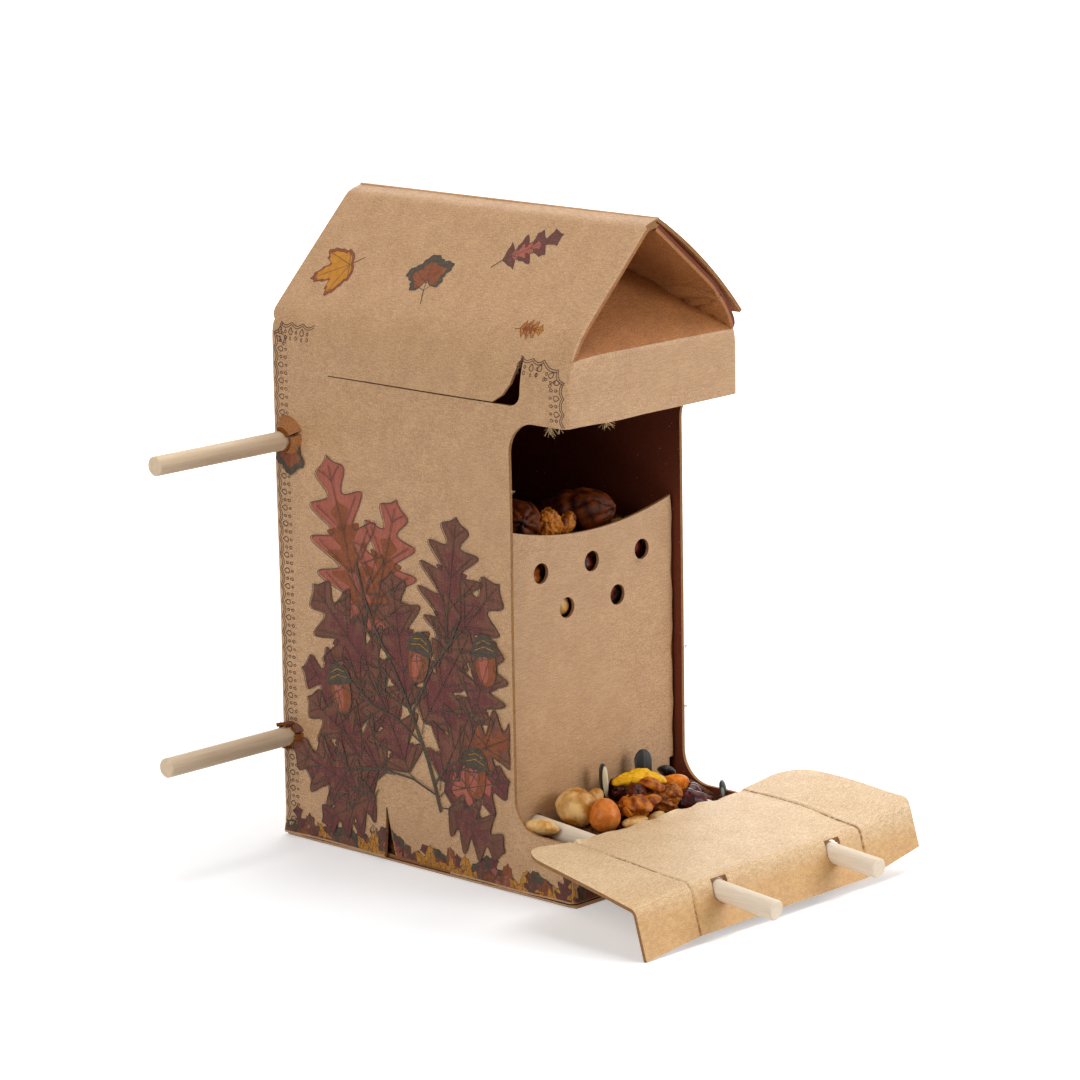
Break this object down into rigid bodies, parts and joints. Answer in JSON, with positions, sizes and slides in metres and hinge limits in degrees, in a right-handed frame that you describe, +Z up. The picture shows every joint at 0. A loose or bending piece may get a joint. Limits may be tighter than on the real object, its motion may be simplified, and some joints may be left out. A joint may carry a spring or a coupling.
{
  "type": "squirrel feeder box",
  "caption": "Folded board squirrel feeder with a gable roof, a window onto a feed hopper, a landing carried by dowels, and cross dowels at the back for tying it up.",
  "frame": {"origin": "middle of the box's footprint, on the surface that it stands on", "axes": "+Z up, the window and the landing face -Y, the back is at +Y, +X is to the right of someone who faces the window"},
  "size_m": [0.2026, 0.23, 0.2385],
  "materials": {
    "kraft_board": "unbleached kraft liner, matt",
    "beech_dowel": "plain sanded wood",
    "packed_feed": "mixed nuts and seeds, closely packed",
    "walnut": "walnut kernels",
    "hazelnut": "blanched hazelnuts",
    "peanut": "peanuts in their skins",
    "sunflower_seed": "striped sunflower seeds",
    "raisin": "dark dried berries",
    "pine_nut": "pine nuts",
    "dried_fruit": "dried banana and pineapple"
  },
  "bodies": {
    "box": {"bottom_outer_flap": "kraft_board", "bottom_left_flap": "kraft_board", "bottom_right_flap": "kraft_board", "bottom_tuck_flap": "kraft_board", "bottom_lock_tab": "kraft_board", "left_wall": "kraft_board", "right_wall": "kraft_board", "back_wall": "kraft_board", "front_header": "kraft_board", "front_low_wall": "kraft_board", "side_seam_tab": "kraft_board", "eave_tongue": "kraft_board", "roof_left_slope": "kraft_board", "roof_ridge_strip": "kraft_board", "ridge_inner_flap": "kraft_board", "roof_right_slope": "kraft_board", "front_gable_panel": "kraft_board", "front_left_gusset": "kraft_board", "front_right_gusset": "kraft_board", "rear_gable_panel": "kraft_board", "rear_left_gusset": "kraft_board", "rear_right_gusset": "kraft_board", "chute_panel": "kraft_board", "chute_left_tab": "kraft_board", "chute_right_tab": "kraft_board", "landing_deck": "kraft_board", "landing_lip": "kraft_board", "left_landing_wing": "kraft_board", "right_landing_wing": "kraft_board", "left_wing_lip": "kraft_board", "right_wing_lip": "kraft_board", "hopper_feed": "packed_feed", "tray_feed": "packed_feed", "hopper_walnuts": "walnut", "tray_hazelnuts": "hazelnut", "tray_peanuts": "peanut", "tray_sunflower_seeds": "sunflower_seed", "tray_raisins": "raisin", "tray_pine_nuts": "pine_nut", "tray_dried_fruit": "dried_fruit", "tray_walnut_pieces": "walnut"},
    "cover": {"roof_cover_flap": "kraft_board"},
    "upper_dowel": {"upper_rear_dowel": "beech_dowel"},
    "lower_dowel": {"lower_rear_dowel": "beech_dowel"},
    "left_dowel": {"left_landing_dowel": "beech_dowel"},
    "right_dowel": {"right_landing_dowel": "beech_dowel"}
  },
  "joints": [
    {"name": "cover_hinge", "type": "hinge", "parent": "box", "child": "cover", "pos_m": [0.0036, 0, 0.2386], "axis": [0, -1, 0], "range_deg": [0, 135]},
    {"name": "upper_dowel_slide", "type": "slide", "parent": "box", "child": "upper_dowel", "axis": [-1, 0, 0], "range_m": [-0.06, 0.137]},
    {"name": "lower_dowel_slide", "type": "slide", "parent": "box", "child": "lower_dowel", "axis": [-1, 0, 0], "range_m": [-0.058, 0.14]},
    {"name": "left_dowel_slide", "type": "slide", "parent": "box", "child": "left_dowel", "axis": [0, -0.9965, -0.0837], "range_m": [0, 0.18]},
    {"name": "right_dowel_slide", "type": "slide", "parent": "box", "child": "right_dowel", "axis": [0, -0.9965, -0.0837], "range_m": [0, 0.184]}
  ]
}
